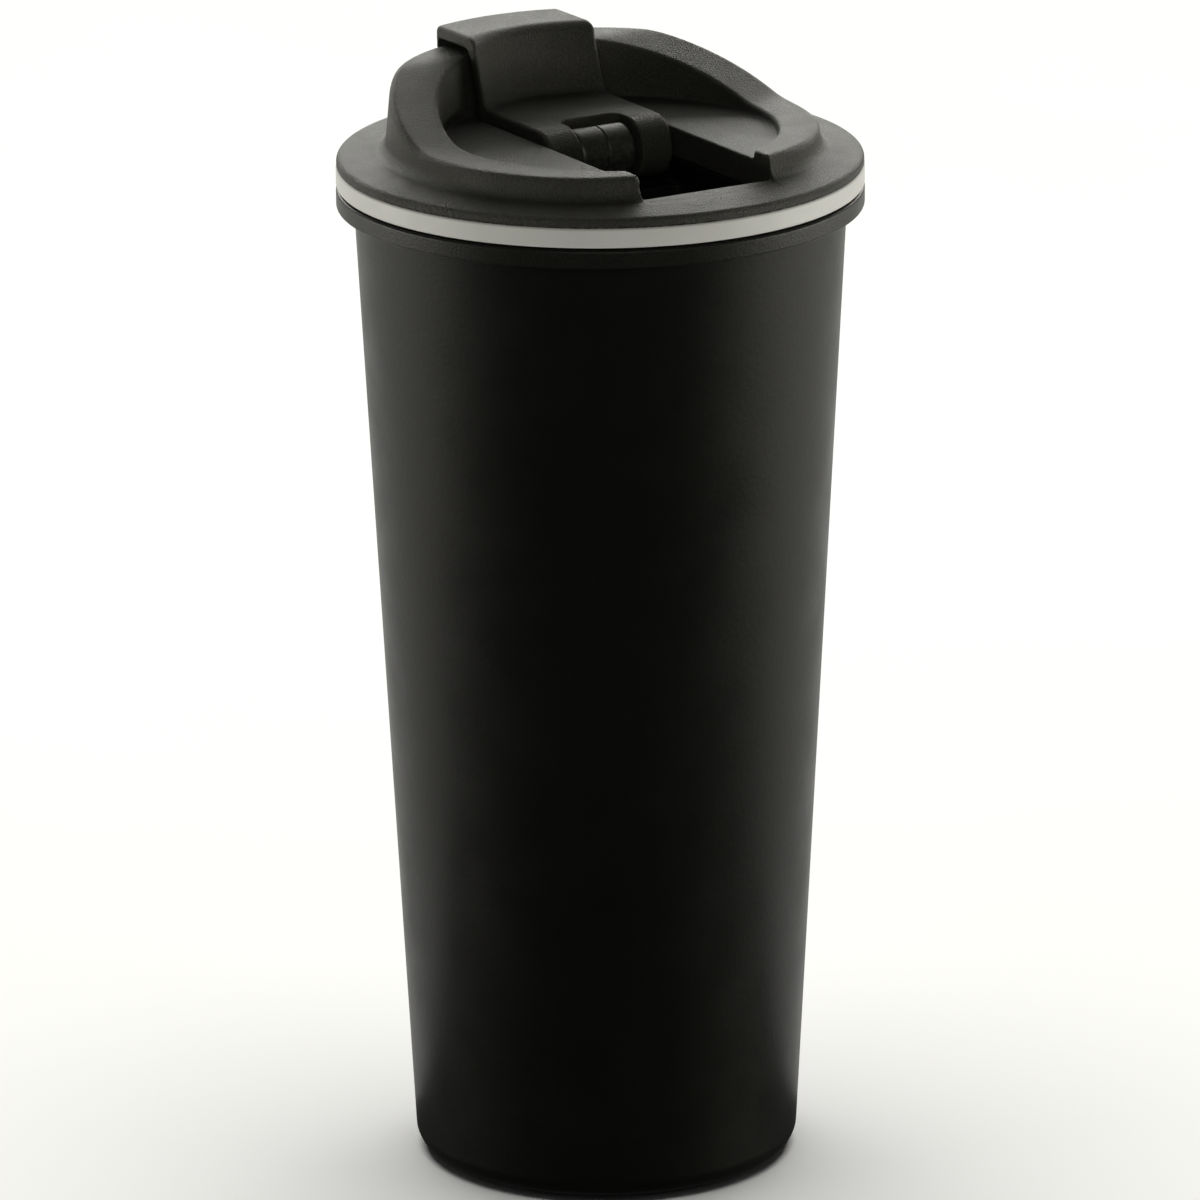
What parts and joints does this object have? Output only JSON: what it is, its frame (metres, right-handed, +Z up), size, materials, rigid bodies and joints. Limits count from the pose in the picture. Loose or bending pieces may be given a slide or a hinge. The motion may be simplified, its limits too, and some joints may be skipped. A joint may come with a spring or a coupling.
{
  "type": "insulated travel mug",
  "caption": "Tapered vacuum-walled steel travel mug with a press-in lid, a pale silicone seal band and a flip-over drinking lever.",
  "frame": {"origin": "centre of the round foot, on the surface it stands on", "axes": "+Z up the mug's axis, +X along the lever's hinge, +Y towards the drinking hole"},
  "size_m": [0.086, 0.086, 0.1862],
  "materials": {
    "outer_shell": "fine powder coat",
    "inner_liner": "brushed stainless",
    "reflector_wrap": "copper foil",
    "base_plate": "pressed stainless",
    "getter": "sintered",
    "seal_bead": "glass solder",
    "base_cap": "brushed stainless",
    "foot_pad": "matte silicone",
    "collar": "fine grain",
    "lid_shell": "fine grain",
    "lid_plug": "moulded",
    "seal_ring": "matte silicone",
    "spout_sleeve": "matte silicone",
    "hinge_post": "polished",
    "hinge_pin": "ground",
    "hinge_screw_left": "passivated",
    "hinge_screw_right": "passivated",
    "flip_lever": "fine grain",
    "spout_stopper": "matte silicone",
    "vent_plug": "matte silicone"
  },
  "bodies": {
    "cup": {"outer_shell": "outer_shell", "inner_liner": "inner_liner", "reflector_wrap": "reflector_wrap", "base_plate": "base_plate", "getter": "getter", "seal_bead": "seal_bead", "base_cap": "base_cap", "foot_pad": "foot_pad", "collar": "collar"},
    "lid": {"lid_shell": "lid_shell", "lid_plug": "lid_plug", "seal_ring": "seal_ring", "spout_sleeve": "spout_sleeve", "hinge_post": "hinge_post", "hinge_pin": "hinge_pin", "hinge_screw_left": "hinge_screw_left", "hinge_screw_right": "hinge_screw_right"},
    "lever": {"flip_lever": "flip_lever", "spout_stopper": "spout_stopper", "vent_plug": "vent_plug"}
  },
  "joints": [
    {"name": "lid_lift", "type": "slide", "parent": "cup", "child": "lid", "axis": [0, 0, 1], "range_m": [0, 0.03]},
    {"name": "lever_flip", "type": "hinge", "parent": "lid", "child": "lever", "pos_m": [0, 0.001, 0.17], "axis": [1, 0, 0], "range_deg": [0, 148]}
  ]
}
